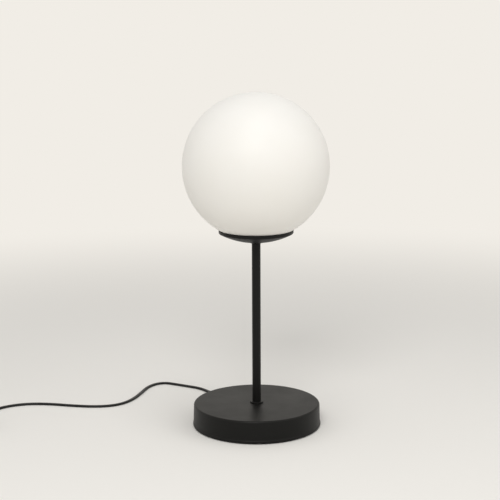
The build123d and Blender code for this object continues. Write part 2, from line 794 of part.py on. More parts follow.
with BuildPart() as globe:
    inner_sphere = globe_radius - globe_wall
    mouth_outside = (mouth_radius, globe_underside(mouth_radius))
    mouth_inside = (mouth_radius, globe_underside(mouth_radius, inner_sphere))
    with BuildSketch(Plane.XZ) as globe_section:
        with BuildLine():
            Line(mouth_inside, mouth_outside)
            ThreePointArc(mouth_outside, (globe_radius, globe_centre), (0, globe_centre + globe_radius))
            Line((0, globe_centre + globe_radius), (0, globe_centre + inner_sphere))
            ThreePointArc((0, globe_centre + inner_sphere), (inner_sphere, globe_centre), mouth_inside)
        make_face()
        for corner in (mouth_outside, mouth_inside):
            fillet(globe_section.vertices().sort_by_distance(corner)[0],
                   mouth_edge_share * globe_wall)
    revolve(axis=Axis.Z)
globe.part.label = "globe"
export_step(globe.part, "parts/globe.step")

# ---- lampholder ---------------------------------------------------------------------------------

# The holder's own plane: its X runs through both terminals, in line with the cord's two cores.
holder_plane = Plane((0, 0, 0), x_dir=side_way, z_dir=(0, 0, 1))
leg_outer = cap_radius - leg_inset
slot_room = 2 * fit_clearance

with BuildPart() as holder_cap:
    spigot_radius = skirt_inner_radius - fit_clearance
    spigot_bore = spigot_radius - spigot_wall
    neck_radius = holder_neck_diameter / 2
    neck_height = holder_bottom + holder_neck_height
    shoulder_height = holder_bottom + holder_shoulder_height
    boss_top = holder_bottom + holder_thread_depth
    turned(
        [
            (tapped_radius, holder_bottom),
            (neck_radius, holder_bottom),
            (neck_radius, neck_height),
            (holder_radius, shoulder_height),
            (holder_radius, skirt_bottom),
            (spigot_radius, skirt_bottom),
            (spigot_radius, insert_bottom),
            (spigot_bore, insert_bottom),
            (spigot_bore, shoulder_height + holder_roof),
            (neck_radius - 0.5, boss_top),
            (tapped_radius, boss_top),
        ],
        rounded=[
            ((neck_radius, neck_height), holder_neck_height / 2),
            ((holder_radius, shoulder_height), holder_shoulder_radius),
            ((spigot_bore, shoulder_height + holder_roof), holder_shoulder_radius - holder_wall),
        ],
    )
holder_cap.part.label = "holder_cap"
export_step(holder_cap.part, "parts/holder_cap.step")

with BuildPart() as holder_insert:
    with BuildSketch(holder_plane.offset(insert_bottom)):
        Circle(spigot_radius)
        with Locations((leg_outer - contact_gauge / 2, 0), (contact_gauge / 2 - leg_outer, 0)):
            Rectangle(contact_gauge + slot_room, leg_width + slot_room, mode=Mode.SUBTRACT)
    extrude(amount=insert_thickness)
    chamfer(holder_insert.edges().filter_by(GeomType.CIRCLE).group_by(Axis.Z)[-1], insert_chamfer)
holder_insert.part.label = "holder_insert"
export_step(holder_insert.part, "parts/holder_insert.step")

# The shell is a plain skirt round a sleeve that takes the bulb's cap, joined by a web.
with BuildPart() as holder_shell:
    turned(
        [
            (skirt_inner_radius, skirt_bottom),
            (holder_radius, skirt_bottom),
            (holder_radius, skirt_top),
            (skirt_inner_radius, skirt_top),
            (skirt_inner_radius, insert_top + web_thickness),
            (sleeve_bore + sleeve_wall, insert_top + web_thickness),
            (sleeve_bore + sleeve_wall, sleeve_top),
            (sleeve_bore, sleeve_top),
            (sleeve_bore, insert_top),
            (skirt_inner_radius, insert_top),
        ],
        rounded=[
            ((holder_radius, skirt_top), holder_rim_radius),
            ((sleeve_bore, sleeve_top), holder_rim_radius),
        ],
    )
holder_shell.part.label = "holder_shell"
export_step(holder_shell.part, "parts/holder_shell.step")

with BuildPart() as holder_terminals:
    with BuildSketch(holder_plane.offset(terminal_bottom)):
        with Locations((-terminal_offset, 0), (terminal_offset, 0)):
            Rectangle(terminal_size[0], terminal_size[1])
    extrude(amount=terminal_size[2])
    for side in (-1, 1):
        screw_plane = Plane(holder_plane.from_local_coords(
            (side * terminal_offset, terminal_size[1] / 2, terminal_bottom + terminal_size[2] / 2)),
            x_dir=side_way, z_dir=-exit_way)
        with BuildSketch(screw_plane):
            Circle(terminal_screw_diameter / 2 + thread_clearance)
        extrude(amount=-(terminal_size[1] + 1), both=True, mode=Mode.SUBTRACT)
holder_terminals.part.label = "holder_terminals"
export_step(holder_terminals.part, "parts/holder_terminals.step")

with BuildPart() as terminal_screw:
    screw(terminal_screw_head, terminal_screw_head_height, terminal_screw_diameter,
          terminal_screw_length)
with BuildPart() as terminal_screws:
    head_at = -terminal_size[1] / 2 - terminal_screw_head_height
    screw_height = terminal_bottom + terminal_size[2] / 2
    for side in (-1, 1):
        head_point = holder_plane.from_local_coords((side * terminal_offset, head_at, screw_height))
        with Locations(Plane(head_point, x_dir=side_way, z_dir=-exit_way)):
            add(terminal_screw.part)
terminal_screws.part.label = "terminal_screws"
export_step(terminal_screws.part, "parts/terminal_screws.step")

# The contacts are strips that rise through the insert from the terminals: one crosses to the
# middle under the bulb's button, the other ends beside the edge of the bulb's cap.
with BuildPart() as centre_contact:
    with BuildSketch(Plane((0, 0, 0), x_dir=side_way, z_dir=exit_way)):
        with BuildLine():
            Polyline(
                (-leg_outer, insert_bottom),
                (-leg_outer + contact_gauge, insert_bottom),
                (-leg_outer + contact_gauge, insert_top),
                (button_diameter / 2 - 1, insert_top),
                (button_diameter / 2 - 1, insert_top + contact_gauge),
                (-leg_outer, insert_top + contact_gauge),
                close=True,
            )
        make_face()
    extrude(amount=leg_width / 2, both=True)
centre_contact.part.label = "centre_contact"
export_step(centre_contact.part, "parts/centre_contact.step")

with BuildPart() as side_contact:
    tab_top = cap_bottom - contact_clearance
    tab_bottom = tab_top - contact_gauge
    tab_inner = leg_outer - tab_length
    with BuildSketch(Plane((0, 0, 0), x_dir=side_way, z_dir=exit_way)):
        with BuildLine():
            Polyline(
                (leg_outer, insert_bottom),
                (leg_outer - contact_gauge, insert_bottom),
                (leg_outer - contact_gauge, tab_bottom),
                (tab_inner, tab_bottom),
                (tab_inner, tab_top),
                (leg_outer, tab_top),
                close=True,
            )
        make_face()
    extrude(amount=leg_width / 2, both=True)
side_contact.part.label = "side_contact"
export_step(side_contact.part, "parts/side_contact.step")

# ---- bulb ---------------------------------------------------------------------------------------

glass_neck_radius = cap_radius - cap_gauge - fit_clearance
neck_bottom = cap_top - bulb_neck_depth
neck_top = cap_top + bulb_neck_rise

with BuildPart() as bulb_glass:
    with BuildSketch(Plane.XZ) as glass_section:
        for inset, role in ((0, Mode.ADD), (bulb_wall, Mode.SUBTRACT)):
            ball = bulb_radius - inset
            foot = (glass_neck_radius - inset, neck_top)
            drop = bulb_centre - neck_top
            turn = atan2(foot[0], drop) + acos(ball / hypot(foot[0], drop))
            touch = (ball * sin(turn), bulb_centre - ball * cos(turn))
            with BuildLine():
                Line((0, neck_bottom), (foot[0], neck_bottom))
                Line((foot[0], neck_bottom), foot)
                Line(foot, touch)
                ThreePointArc(touch, (ball, bulb_centre), (0, bulb_centre + ball))
                Line((0, bulb_centre + ball), (0, neck_bottom))
            make_face(mode=role)
        for inset in (0, bulb_wall):
            corner = glass_section.vertices().sort_by_distance((glass_neck_radius - inset, neck_top))[0]
            fillet(corner, bulb_shoulder_radius + inset)
    revolve(axis=Axis.Z)
bulb_glass.part.label = "bulb_glass"
export_step(bulb_glass.part, "parts/bulb_glass.step")

with BuildPart() as bulb_cap:
    throat = cap_radius - cap_throat_inset
    turned(
        [
            (throat, cap_bottom),
            (cap_radius, cap_bottom + cap_throat_height),
            (cap_radius, cap_top),
            (cap_radius - cap_gauge, cap_top),
            (cap_radius - cap_gauge, cap_bottom + cap_throat_height + cap_gauge / 2),
            (throat - cap_gauge, cap_bottom + cap_gauge / 2),
            (throat - cap_gauge, cap_bottom),
        ]
    )
bulb_cap.part.label = "bulb_cap"
export_step(bulb_cap.part, "parts/bulb_cap.step")

with BuildPart() as bulb_insulator:
    rim_bottom = cap_bottom - fit_clearance
    plug_inside = throat - cap_gauge - fit_clearance
    plug_top = cap_bottom + 3 * cap_gauge
    turned(
        [
            (0, insulator_bottom),
            (button_diameter / 2 + button_chamfer, insulator_bottom),
            (throat - fit_clearance, rim_bottom),
            (plug_inside, rim_bottom),
            (plug_inside, plug_top),
            (0, plug_top),
        ]
    )
bulb_insulator.part.label = "bulb_insulator"
export_step(bulb_insulator.part, "parts/bulb_insulator.step")

with BuildPart() as bulb_button:
    turned(
        [
            (0, bulb_bottom),
            (button_diameter / 2 - button_chamfer, bulb_bottom),
            (button_diameter / 2, bulb_bottom + button_height / 2),
            (button_diameter / 2, insulator_bottom),
            (0, insulator_bottom),
        ]
    )
bulb_button.part.label = "bulb_button"
export_step(bulb_button.part, "parts/bulb_button.step")

# ---- cable inside the lamp ----------------------------------------------------------------------

with BuildPart() as inner_cable:
    with BuildLine(mode=Mode.PRIVATE) as cable_line:
        FilletPolyline(
            out_along_exit(inner_cable_end, cord_height),
            (0, 0, cord_height),
            (0, 0, sheath_top),
            radius=cord_bend,
        )
    cord_along(cable_line.wires()[0])
inner_cable.part.label = "inner_cable"
export_step(inner_cable.part, "parts/inner_cable.step")

core_offset = (core_diameter + core_gap) / 2
for side, name in ((-1, "live_core"), (1, "neutral_core")):
    with BuildPart() as core:
        core_end = side_way * (side * terminal_offset) + Vector(0, 0, terminal_bottom)
        core_start = side_way * (side * core_offset) + Vector(0, 0, sheath_top)
        rise = (terminal_bottom - sheath_top) / 2
        with BuildLine(mode=Mode.PRIVATE) as core_line:
            FilletPolyline(
                core_start,
                core_start + Vector(0, 0, rise - core_gap * 2),
                core_end - Vector(0, 0, rise - core_gap * 2),
                core_end,
                radius=core_diameter * 0.6,
            )
        with BuildSketch(Plane(core_start, x_dir=side_way, z_dir=(0, 0, 1))):
            Circle(core_diameter / 2)
        sweep(path=core_line.wires()[0])
    core.part.label = name
    export_step(core.part, f"parts/{name}.step")

# ---- cord, switch and coil ----------------------------------------------------------------------

switch_x, switch_y = switch_place
# The switch's own plane: its X runs along the cord, away from the lamp, and its Y to the right.
switch_plane = Plane((switch_x, switch_y, 0), x_dir=(0, -1, 0), z_dir=(0, 0, 1))
switch_side = Plane((switch_x, switch_y, 0), x_dir=(0, -1, 0), z_dir=(-1, 0, 0))
inner_length = switch_length - 2 * switch_wall
inner_width = switch_width - 2 * switch_wall
inner_corner = switch_corner_radius - switch_wall
case_screws_at = [(-case_screw_place[0], -case_screw_place[1]), case_screw_place]
case_screw_bottom = case_screw_recess - case_screw_head_height
case_screw_top = case_screw_bottom + case_screw_length
post_radius = case_screw_diameter / 2 + case_post_wall
cable_slot_plane = Plane((switch_x, switch_y, switch_split), x_dir=(1, 0, 0), z_dir=(0, -1, 0))
window_length = rocker_length + 2 * window_clearance
window_width = rocker_width + 2 * easy_clearance
pivot_radius = rocker_pivot_diameter / 2
ear_inner = window_width / 2 + ear_clearance
ear_bottom = rocker_pivot_height - pivot_radius - ear_margin
cover_inside = switch_height - switch_wall
terminal_at, contact_side = switch_terminal_place
contact_root = terminal_at - switch_terminal_size[0] / 2

with BuildPart() as switch_base:
    with BuildSketch(switch_plane):
        RectangleRounded(switch_length, switch_width, switch_corner_radius)
    extrude(amount=switch_split)
    chamfer(switch_base.edges().group_by(Axis.Z)[0], switch_foot_chamfer)
    with BuildSketch(switch_plane.offset(switch_wall)):
        RectangleRounded(inner_length, inner_width, inner_corner)
    extrude(amount=switch_split, mode=Mode.SUBTRACT)
    with BuildSketch(switch_plane.offset(switch_wall)):
        with Locations(*case_screws_at):
            Circle(case_screw_head / 2 + case_screw_wall)
        with Locations((-rib_place, 0), (rib_place, 0)):
            Rectangle(rib_width, inner_width)
    extrude(amount=switch_split - switch_wall)
    with BuildSketch(cable_slot_plane):
        SlotOverall(cord_width + 2 * fit_clearance, cord_thickness + 2 * fit_clearance)
    extrude(amount=switch_length, both=True, mode=Mode.SUBTRACT)
    with BuildSketch(switch_plane):
        with Locations(*case_screws_at):
            Circle(case_screw_head / 2 + fit_clearance)
    extrude(amount=case_screw_recess, mode=Mode.SUBTRACT)
    with BuildSketch(switch_plane):
        with Locations(*case_screws_at):
            Circle(case_screw_diameter / 2 + fit_clearance)
    extrude(amount=switch_split, mode=Mode.SUBTRACT)
switch_base.part.label = "switch_base"
export_step(switch_base.part, "parts/switch_base.step")

with BuildPart() as switch_cover:
    with BuildSketch(switch_plane.offset(switch_split)):
        RectangleRounded(switch_length, switch_width, switch_corner_radius)
    extrude(amount=switch_height - switch_split)
    fillet(switch_cover.edges().group_by(Axis.Z)[-1], switch_edge_radius)
    with BuildSketch(switch_plane.offset(switch_split)):
        RectangleRounded(inner_length, inner_width, inner_corner)
    extrude(amount=cover_inside - switch_split, mode=Mode.SUBTRACT)
    with BuildSketch(switch_plane.offset(switch_split)):
        with Locations(*case_screws_at):
            Circle(post_radius)
        with Locations((-rib_place, 0), (rib_place, 0)):
            Rectangle(rib_width, inner_width)
    extrude(amount=cover_inside - switch_split)
    for side in (-1, 1):
        ear_middle = side * (ear_inner + ear_thickness / 2)
        with BuildSketch(switch_plane.offset(ear_bottom)):
            with Locations((0, ear_middle)):
                Rectangle(rocker_pivot_diameter + 2 * ear_margin, ear_thickness)
        extrude(amount=cover_inside - ear_bottom)
    with BuildSketch(switch_plane.offset(switch_height)):
        RectangleRounded(window_length, window_width, window_corner_radius)
    extrude(amount=-(switch_height - cover_inside), mode=Mode.SUBTRACT)
    with BuildSketch(switch_side):
        with Locations((0, rocker_pivot_height)):
            Circle(pivot_radius + pivot_clearance)
    extrude(amount=ear_inner + ear_thickness + ear_clearance, both=True, mode=Mode.SUBTRACT)
    with BuildSketch(cable_slot_plane):
        SlotOverall(cord_width + 2 * fit_clearance, cord_thickness + 2 * fit_clearance)
    extrude(amount=switch_length, both=True, mode=Mode.SUBTRACT)
    with BuildSketch(switch_plane.offset(switch_split)):
        with Locations(*case_screws_at):
            Circle(case_screw_diameter / 2 + thread_clearance)
    extrude(amount=case_screw_top + easy_clearance - switch_split, mode=Mode.SUBTRACT)
switch_cover.part.label = "switch_cover"
export_step(switch_cover.part, "parts/switch_cover.step")

# The rocker is drawn level about its pivot and tilted to "off", its end towards the lamp down.
with BuildPart() as switch_rocker:
    tilt = radians(rocker_tilt)
    tilted = Plane(
        (switch_x, switch_y, rocker_pivot_height), x_dir=(0, -cos(tilt), sin(tilt)), z_dir=(-1, 0, 0)
    )
    rocker_end = rocker_length / 2
    corner = rocker_corner_chamfer
    nub_reach = rocker_pivot_height - leaf_height - contact_gauge - easy_clearance
    with BuildSketch(tilted):
        with BuildLine():
            Polyline(
                (-rocker_end, -rocker_skirt),
                (-rocker_keel_length / 2, -rocker_keel_depth),
                (rocker_keel_length / 2, -rocker_keel_depth),
                (rocker_end, -rocker_skirt),
                (rocker_end - corner, rocker_rise - corner),
                (rocker_end - 2 * corner, rocker_rise),
                (0, rocker_rise - rocker_dip),
                (2 * corner - rocker_end, rocker_rise),
                (corner - rocker_end, rocker_rise - corner),
                close=True,
            )
        make_face()
    extrude(amount=rocker_width / 2, both=True)
    with BuildSketch(tilted):
        Circle(pivot_radius)
    extrude(amount=ear_inner + ear_thickness - easy_clearance, both=True)
    with BuildSketch(tilted.offset(-contact_side)):
        with Locations((0, -nub_reach / 2)):
            Rectangle(nub_width, nub_reach)
    extrude(amount=nub_width / 2, both=True)
switch_rocker.part.label = "switch_rocker"
export_step(switch_rocker.part, "parts/switch_rocker.step")

with BuildPart() as switch_terminals:
    with BuildSketch(switch_plane.offset(switch_wall)):
        with Locations((-terminal_at, contact_side), (terminal_at, contact_side)):
            Rectangle(switch_terminal_size[0], switch_terminal_size[1])
    extrude(amount=switch_terminal_size[2])
switch_terminals.part.label = "switch_terminals"
export_step(switch_terminals.part, "parts/switch_terminals.step")

with BuildPart() as switch_contacts:
    with BuildSketch(switch_plane.offset(leaf_height)):
        with Locations(((leaf_reach - contact_root) / 2, contact_side)):
            Rectangle(leaf_reach + contact_root, contact_width)
    extrude(amount=contact_gauge)
    with BuildSketch(switch_plane.offset(fixed_contact_height)):
        with Locations(((fixed_contact_start + contact_root) / 2, contact_side)):
            Rectangle(contact_root - fixed_contact_start, contact_width)
    extrude(amount=contact_gauge)
switch_contacts.part.label = "switch_contacts"
export_step(switch_contacts.part, "parts/switch_contacts.step")

with BuildPart() as case_screw:
    screw(case_screw_head, case_screw_head_height, case_screw_diameter, case_screw_length)
with BuildPart() as case_screws:
    with Locations(switch_plane.offset(case_screw_bottom)):
        with Locations(*case_screws_at):
            add(case_screw.part)
case_screws.part.label = "case_screws"
export_step(case_screws.part, "parts/case_screws.step")

# One core runs straight through the switch; the other is cut and ends at the two terminals.
with BuildPart() as switch_cores:
    core_end_height = switch_wall + switch_terminal_size[2] / 2
    with BuildSketch(cable_slot_plane):
        with Locations((core_offset, 0)):
            Circle(core_diameter / 2)
    extrude(amount=switch_cable_end, both=True)
    for way in (-1, 1):
        core_end = terminal_at + switch_terminal_size[0] / 2
        start = switch_plane.from_local_coords((way * switch_cable_end, -core_offset, switch_split))
        end = switch_plane.from_local_coords((way * core_end, contact_side, core_end_height))
        with BuildSketch(Plane(start, x_dir=(1, 0, 0), z_dir=(0, way, 0))) as core_start_face:
            Circle(core_diameter / 2)
        with BuildSketch(Plane(end, x_dir=(1, 0, 0), z_dir=(0, way, 0))) as core_end_face:
            Circle(core_diameter / 2)
        loft(sections=[core_start_face.sketch, core_end_face.sketch])
switch_cores.part.label = "switch_cores"
export_step(switch_cores.part, "parts/switch_cores.step")

for name, route in (("cord_lead", lead_route), ("cord_mid", mid_route), ("cord_tail", tail_route)):
    path = rounded_path(route)
    with BuildPart() as stretch:
        cord_along(path)
    stretch.part.label = name
    export_step(stretch.part, f"parts/{name}.step")
    report_cord(name, stretch.part, path, min(bend_radii(route)))


def coil_point(turns):
    """The middle of the cord in the coil, so many turns from its start."""
    inward = min(turns, coil_turns - turns)
    radius = coil_outer_radius - coil_pitch * inward
    climb = min(max(2 * turns - coil_turns + 0.5, 0), 1)
    height = coil_bottom_height + coil_layer_pitch * climb**2 * (3 - 2 * climb)
    angle = -2 * pi * turns
    return Vector(coil_x + radius * cos(angle), coil_y + radius * sin(angle), height)


def two_arcs(start, start_way, end, end_way):
    """Two arcs that leave start along start_way, meet smoothly and reach end along end_way."""
    span = end - start
    along = span.dot(start_way + end_way)
    spread = 2 * (1 - start_way.dot(end_way))
    reach = (sqrt(along**2 + spread * span.dot(span)) - along) / spread
    meet = (start + end + (start_way - end_way) * reach) / 2
    meet_way = (end - end_way * reach - start - start_way * reach).normalized()
    first = TangentArc(start, meet, tangent=start_way, mode=Mode.PRIVATE)
    second = TangentArc(meet, end, tangent=meet_way, mode=Mode.PRIVATE)
    return [first, second]


def least_gap(path, steps):
    """The least gap between turns of a flat cord on a path, measured on points along it."""
    points = [path @ (step / steps) for step in range(steps + 1)]
    apart = int(steps * 2 * coil_outer_radius / path.length)
    gap = coil_outer_radius
    for index, here in enumerate(points):
        for there in points[index + apart:]:
            level = hypot(here.X - there.X, here.Y - there.Y)
            sideways = max(level - (cord_width - cord_thickness), 0)
            gap = min(gap, hypot(sideways, here.Z - there.Z) - cord_thickness)
    return gap


# The coil spirals in over two and a half turns and more, climbs a layer in the half turn where the
# spiral reverses, and spirals out again on top. Each quarter turn is two arcs.
with BuildPart() as cord_coil:
    quarters = round(coil_turns * 4)
    knots = [coil_point(step / 4) for step in range(quarters + 1)]
    ways = [(coil_point(step / 4 + 0.01) - coil_point(step / 4 - 0.01)).normalized()
            for step in range(quarters + 1)]
    ways[0], ways[-1] = Vector(0, -1, 0), Vector(0, 1, 0)
    with BuildLine(mode=Mode.PRIVATE) as coil_line:
        Line(knots[0] - ways[0] * cord_width, knots[0])
        for step in range(quarters):
            add(two_arcs(knots[step], ways[step], knots[step + 1], ways[step + 1]))
        Line(knots[-1], knots[-1] + ways[-1] * cord_width)
    coil_path = coil_line.wires()[0]
    cord_along(coil_path, lean=coil_lean)
cord_coil.part.label = "cord_coil"
export_step(cord_coil.part, "parts/cord_coil.step")
report_cord("cord_coil", cord_coil.part, coil_path, coil_outer_radius - coil_pitch * coil_turns / 2)
print(f"cord_coil: least gap to itself {least_gap(coil_path, 900):.2f} mm")

# A strap ties the coil where its turns lie square above each other, a quarter turn before its start.
with BuildPart() as cord_tie:
    strap_inner = coil_outer_radius - coil_pitch * (coil_turns - 1) / 2 - cord_width / 2 - tie_clearance
    strap_outer = coil_outer_radius - coil_pitch * 0.75 + cord_width / 2 + tie_clearance
    strap_top = coil_top_height + cord_lying + tie_clearance
    strap_length = strap_outer - strap_inner
    strap_middle = (coil_y + (strap_inner + strap_outer) / 2, (strap_top + tie_gauge) / 2)
    with BuildSketch(Plane.YZ.offset(coil_x)):
        with Locations(strap_middle):
            RectangleRounded(strap_length + 2 * tie_gauge, strap_top + tie_gauge, tie_corner_radius)
            RectangleRounded(strap_length, strap_top - tie_gauge, tie_corner_radius - tie_gauge,
                             mode=Mode.SUBTRACT)
    extrude(amount=tie_width / 2, both=True)
cord_tie.part.label = "cord_tie"
export_step(cord_tie.part, "parts/cord_tie.step")

# ---- plug ---------------------------------------------------------------------------------------

plug_plane = Plane((plug_x, plug_rear, plug_height), x_dir=(1, 0, 0), z_dir=(0, 0, 1))
pin_plane = Plane((plug_x, plug_front, plug_height), x_dir=(1, 0, 0), z_dir=(0, 1, 0))
pins_at = [(-pin_spacing / 2, 0), (pin_spacing / 2, 0)]

with BuildPart() as plug_body:
    half_front, half_rear = plug_width / 2, plug_rear_width / 2
    with BuildSketch(plug_plane) as plug_outline:
        with BuildLine():
            Polyline(
                (-half_rear, 0),
                (half_rear, 0),
                (half_front, plug_shoulder),
                (half_front, plug_length),
                (-half_front, plug_length),
                (-half_front, plug_shoulder),
                close=True,
            )
        make_face()
        fillet(plug_outline.vertices().group_by(Axis.Y)[1], plug_shoulder_radius)
    extrude(amount=plug_thickness / 2, both=True)
    plug_faces = plug_body.edges().group_by(Axis.Z)
    fillet(plug_faces[-1] + plug_faces[0], plug_edge_radius)
    with BuildSketch(pin_plane):
        with Locations(*pins_at):
            Circle(pin_core_diameter / 2 + fit_clearance)
    extrude(amount=-pin_root, mode=Mode.SUBTRACT)
    with BuildSketch(pin_plane):
        with Locations(*pins_at):
            Circle(pin_sleeve_diameter / 2)
            Circle(pin_core_diameter / 2 + fit_clearance, mode=Mode.SUBTRACT)
    extrude(amount=pin_sleeve_length)
    with BuildSketch(Plane((plug_x, plug_rear, plug_height), z_dir=(0, 1, 0), x_dir=(1, 0, 0))):
        SlotOverall(cord_width + 2 * fit_clearance, cord_thickness + 2 * fit_clearance)
    extrude(amount=plug_cord_depth, mode=Mode.SUBTRACT)
plug_body.part.label = "plug_body"
export_step(plug_body.part, "parts/plug_body.step")

with BuildPart() as plug_pin:
    core = pin_core_diameter / 2
    tip = pin_diameter / 2
    turned(
        [
            (0, -pin_root + fit_clearance),
            (core, -pin_root + fit_clearance),
            (core, pin_sleeve_length + fit_clearance),
            (tip, pin_sleeve_length + fit_clearance),
            (tip, pin_length),
            (0, pin_length),
        ],
        rounded=[((tip, pin_length), pin_tip_radius)],
    )
with BuildPart() as plug_pins:
    with Locations(pin_plane):
        with Locations(*pins_at):
            add(plug_pin.part)
plug_pins.part.label = "plug_pins"
export_step(plug_pins.part, "parts/plug_pins.step")

with BuildPart() as plug_relief:
    relief_plane = Plane((plug_x, plug_relief_start, plug_height), x_dir=(1, 0, 0), z_dir=(0, 1, 0))
    with BuildSketch(relief_plane):
        Circle(plug_relief_tip / 2)
    with BuildSketch(relief_plane.offset(plug_relief_length)):
        Circle(plug_relief_root / 2)
    loft()
    root_plane = Plane((plug_x, plug_rear, plug_height), x_dir=(1, 0, 0), z_dir=(0, -1, 0))
    add(relief_grooves(root_plane, plug_relief_length, plug_relief_root / 2, plug_relief_tip / 2),
        mode=Mode.SUBTRACT)
    with BuildSketch(relief_plane):
        SlotOverall(cord_width + 2 * fit_clearance, cord_thickness + 2 * fit_clearance)
    extrude(amount=plug_relief_length, mode=Mode.SUBTRACT)
plug_relief.part.label = "plug_relief"
export_step(plug_relief.part, "parts/plug_relief.step")

total = sum(rounded_path(route).length for route in (lead_route, mid_route, tail_route))
total += coil_path.length + 2 * switch_cable_end
print(f"cord from its end in the base to its end in the plug: {total:.0f} mm")
print(f"lamp height {globe_centre + globe_radius:.1f} mm")
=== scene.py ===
from math import cos, pi, radians, sin

import bmesh
import bpy
from mathutils import Matrix, Vector


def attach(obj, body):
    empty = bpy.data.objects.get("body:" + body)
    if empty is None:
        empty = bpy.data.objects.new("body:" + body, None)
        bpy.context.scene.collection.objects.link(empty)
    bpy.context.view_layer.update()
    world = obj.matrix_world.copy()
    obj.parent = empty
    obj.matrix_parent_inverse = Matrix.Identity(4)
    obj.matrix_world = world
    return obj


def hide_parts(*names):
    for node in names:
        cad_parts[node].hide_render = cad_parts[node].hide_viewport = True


# Glass globe table lamp: satin opal ball, black powder-coated dish, stem and base, flat black cord.
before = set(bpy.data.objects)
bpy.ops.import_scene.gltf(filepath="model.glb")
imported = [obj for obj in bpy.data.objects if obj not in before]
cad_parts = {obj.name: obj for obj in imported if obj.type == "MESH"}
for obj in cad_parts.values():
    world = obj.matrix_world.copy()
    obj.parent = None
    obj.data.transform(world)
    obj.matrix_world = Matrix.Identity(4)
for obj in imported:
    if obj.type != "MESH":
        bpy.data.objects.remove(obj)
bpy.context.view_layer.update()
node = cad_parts
scene = bpy.context.scene
scene.view_settings.view_transform = "Standard"
print("frame loaded:", len(node), "nodes")

mm = 0.001

# Camera and light

camera = {
    "position": (0.0, -1.62189, 0.53917),   # metres; about 1.6 m in front, a little above the lamp
    "focalPixels": 1203.67,                 # for a picture 500 pixels wide
    "pictureWidth": 500,
    "sensorWidth": 36,                      # mm
    "nearLimit": 0.05,                      # metres
    "farLimit": 60,
    "down": 10.179,                         # degrees
    "left": 0.298,
    "roll": -0.254,
}

studio = {
    "backdropColour": "#F1EDE6",
    "floorColour": "#F6F3ED",
    "floorRoughness": 0.9,
    "floorSpecular": 0.1,
    "floorSize": 9.0,           # metres to each side
    "clearRadius": 0.55,        # metres; the floor is plain up to here, then starts to melt away
    "fadeRadius": 1.8,          # from here on it is all backdrop
    "roomLight": 0.52,          # light from all round
    "lamps": {
        # name: (place, aims at, size in metres, watts)
        "frontSoftbox": ((-0.25, -1.75, 1.66), (0.0, 0.0, 0.25), 1.0, 17.0),
        "fillSoftbox": ((1.5, -0.6, 1.0), (0.0, 0.0, 0.25), 1.2, 3.0),
        "topSoftbox": ((0.1, -0.45, 2.1), (0.0, 0.0, 0.1), 0.9, 5.5),
    },
}


def linearColour(hexColour):
    parts = [int(hexColour[i:i + 2], 16) / 255 for i in (1, 3, 5)]
    return [c / 12.92 if c <= 0.04045 else ((c + 0.055) / 1.055) ** 2.4 for c in parts] + [1.0]


def addNode(tree, kind, settings=(), links=()):
    made = tree.nodes.new(kind)
    for name, value in dict(settings).items():
        if isinstance(name, int) or name in made.inputs:
            made.inputs[name].default_value = value
        else:
            setattr(made, name, value)
    for source, output, target in links:
        tree.links.new(source.outputs[output], made.inputs[target])
    return made


def placeCamera():
    eye = bpy.data.objects.new("photoCamera", bpy.data.cameras.new("photoCamera"))
    scene.collection.objects.link(eye)
    eye.data.sensor_width = camera["sensorWidth"]
    eye.data.lens = camera["focalPixels"] * camera["sensorWidth"] / camera["pictureWidth"]
    down, left, roll = (radians(camera[k]) for k in ("down", "left", "roll"))
    ahead = Vector((-sin(left) * cos(down), cos(left) * cos(down), -sin(down)))
    level = Vector((cos(left), sin(left), 0))
    upright = level.cross(ahead)
    right = level * cos(roll) + upright * sin(roll)
    up = upright * cos(roll) - level * sin(roll)
    turned = Matrix((right, up, -ahead)).transposed().to_4x4()
    eye.matrix_world = Matrix.Translation(camera["position"]) @ turned
    eye.data.clip_start = camera["nearLimit"]
    eye.data.clip_end = camera["farLimit"]
    scene.camera = eye


def lightRoom():
    world = bpy.data.worlds.new("studioRoom")
    scene.world = world
    world.use_nodes = True
    tree = world.node_tree
    tree.nodes.clear()
    path = addNode(tree, "ShaderNodeLightPath")
    glossyToo = addNode(tree, "ShaderNodeMath", {"operation": "MAXIMUM"},
                        [(path, "Is Camera Ray", 0), (path, "Is Glossy Ray", 1)])
    seen = addNode(tree, "ShaderNodeMath", {"operation": "MAXIMUM"},
                   [(glossyToo, 0, 0), (path, "Is Transmission Ray", 1)])
    room = addNode(tree, "ShaderNodeBackground",
                   {"Color": linearColour("#FFFFFF"), "Strength": studio["roomLight"]})
    backdrop = addNode(tree, "ShaderNodeBackground",
                       {"Color": linearColour(studio["backdropColour"]), "Strength": 1.0})
    mixed = addNode(tree, "ShaderNodeMixShader", {}, [(seen, 0, 0), (room, 0, 1), (backdrop, 0, 2)])
    addNode(tree, "ShaderNodeOutputWorld", {}, [(mixed, 0, "Surface")])
    for name, (place, aim, size, watts) in studio["lamps"].items():
        lamp = bpy.data.objects.new(name, bpy.data.lights.new(name, "AREA"))
        scene.collection.objects.link(lamp)
        lamp.data.shape = "DISK"
        lamp.data.size = size
        lamp.data.energy = watts
        lamp.location = place
        lamp.rotation_mode = "QUATERNION"
        lamp.rotation_quaternion = (Vector(aim) - Vector(place)).to_track_quat("-Z", "Y")


